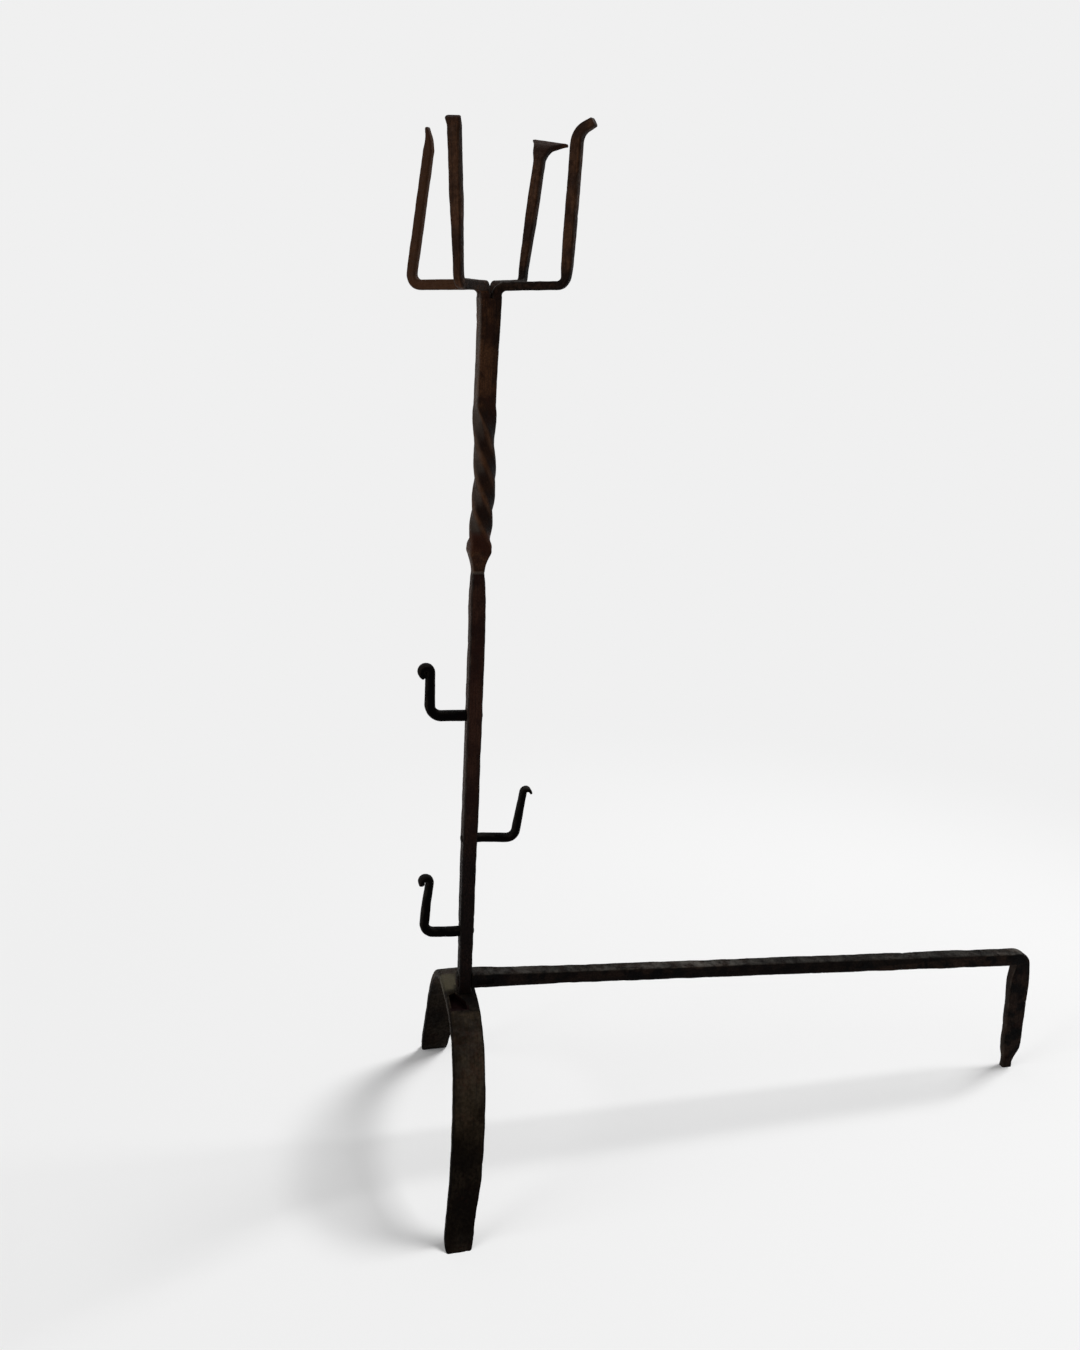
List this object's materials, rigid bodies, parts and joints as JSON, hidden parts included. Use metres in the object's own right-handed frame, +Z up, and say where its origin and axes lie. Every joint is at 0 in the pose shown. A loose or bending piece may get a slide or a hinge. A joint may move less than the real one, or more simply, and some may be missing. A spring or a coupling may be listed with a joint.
{
  "type": "andiron",
  "caption": "Wrought-iron spit andiron: arched front legs, an upright with curled spit hooks, a twist and a split cup head of upright prongs, and a billet bar bent down into its rear foot.",
  "frame": {"origin": "on the floor, in the middle of the andiron's footprint", "axes": "+Z up; -Y is the room side, where the arched legs and the upright stand; +Y runs back along the billet bar into the hearth; X runs across the legs"},
  "size_m": [0.3084, 0.6619, 0.8987],
  "materials": {
    "forged_iron": "rough forged iron, dark brown-black with grey rubbed edges",
    "warm_forged_iron": "forged iron with a warm brown patina, grey where rubbed"
  },
  "bodies": {
    "root": {"leg_arch": "forged_iron", "lower_stem": "forged_iron", "twisted_stem": "warm_forged_iron", "billet_bar": "forged_iron", "hook_upper": "forged_iron", "hook_middle": "forged_iron", "hook_lower": "forged_iron", "tine_front_near": "warm_forged_iron", "tine_rear_near": "warm_forged_iron", "tine_rear_far": "warm_forged_iron", "tine_front_far": "warm_forged_iron"}
  },
  "joints": []
}
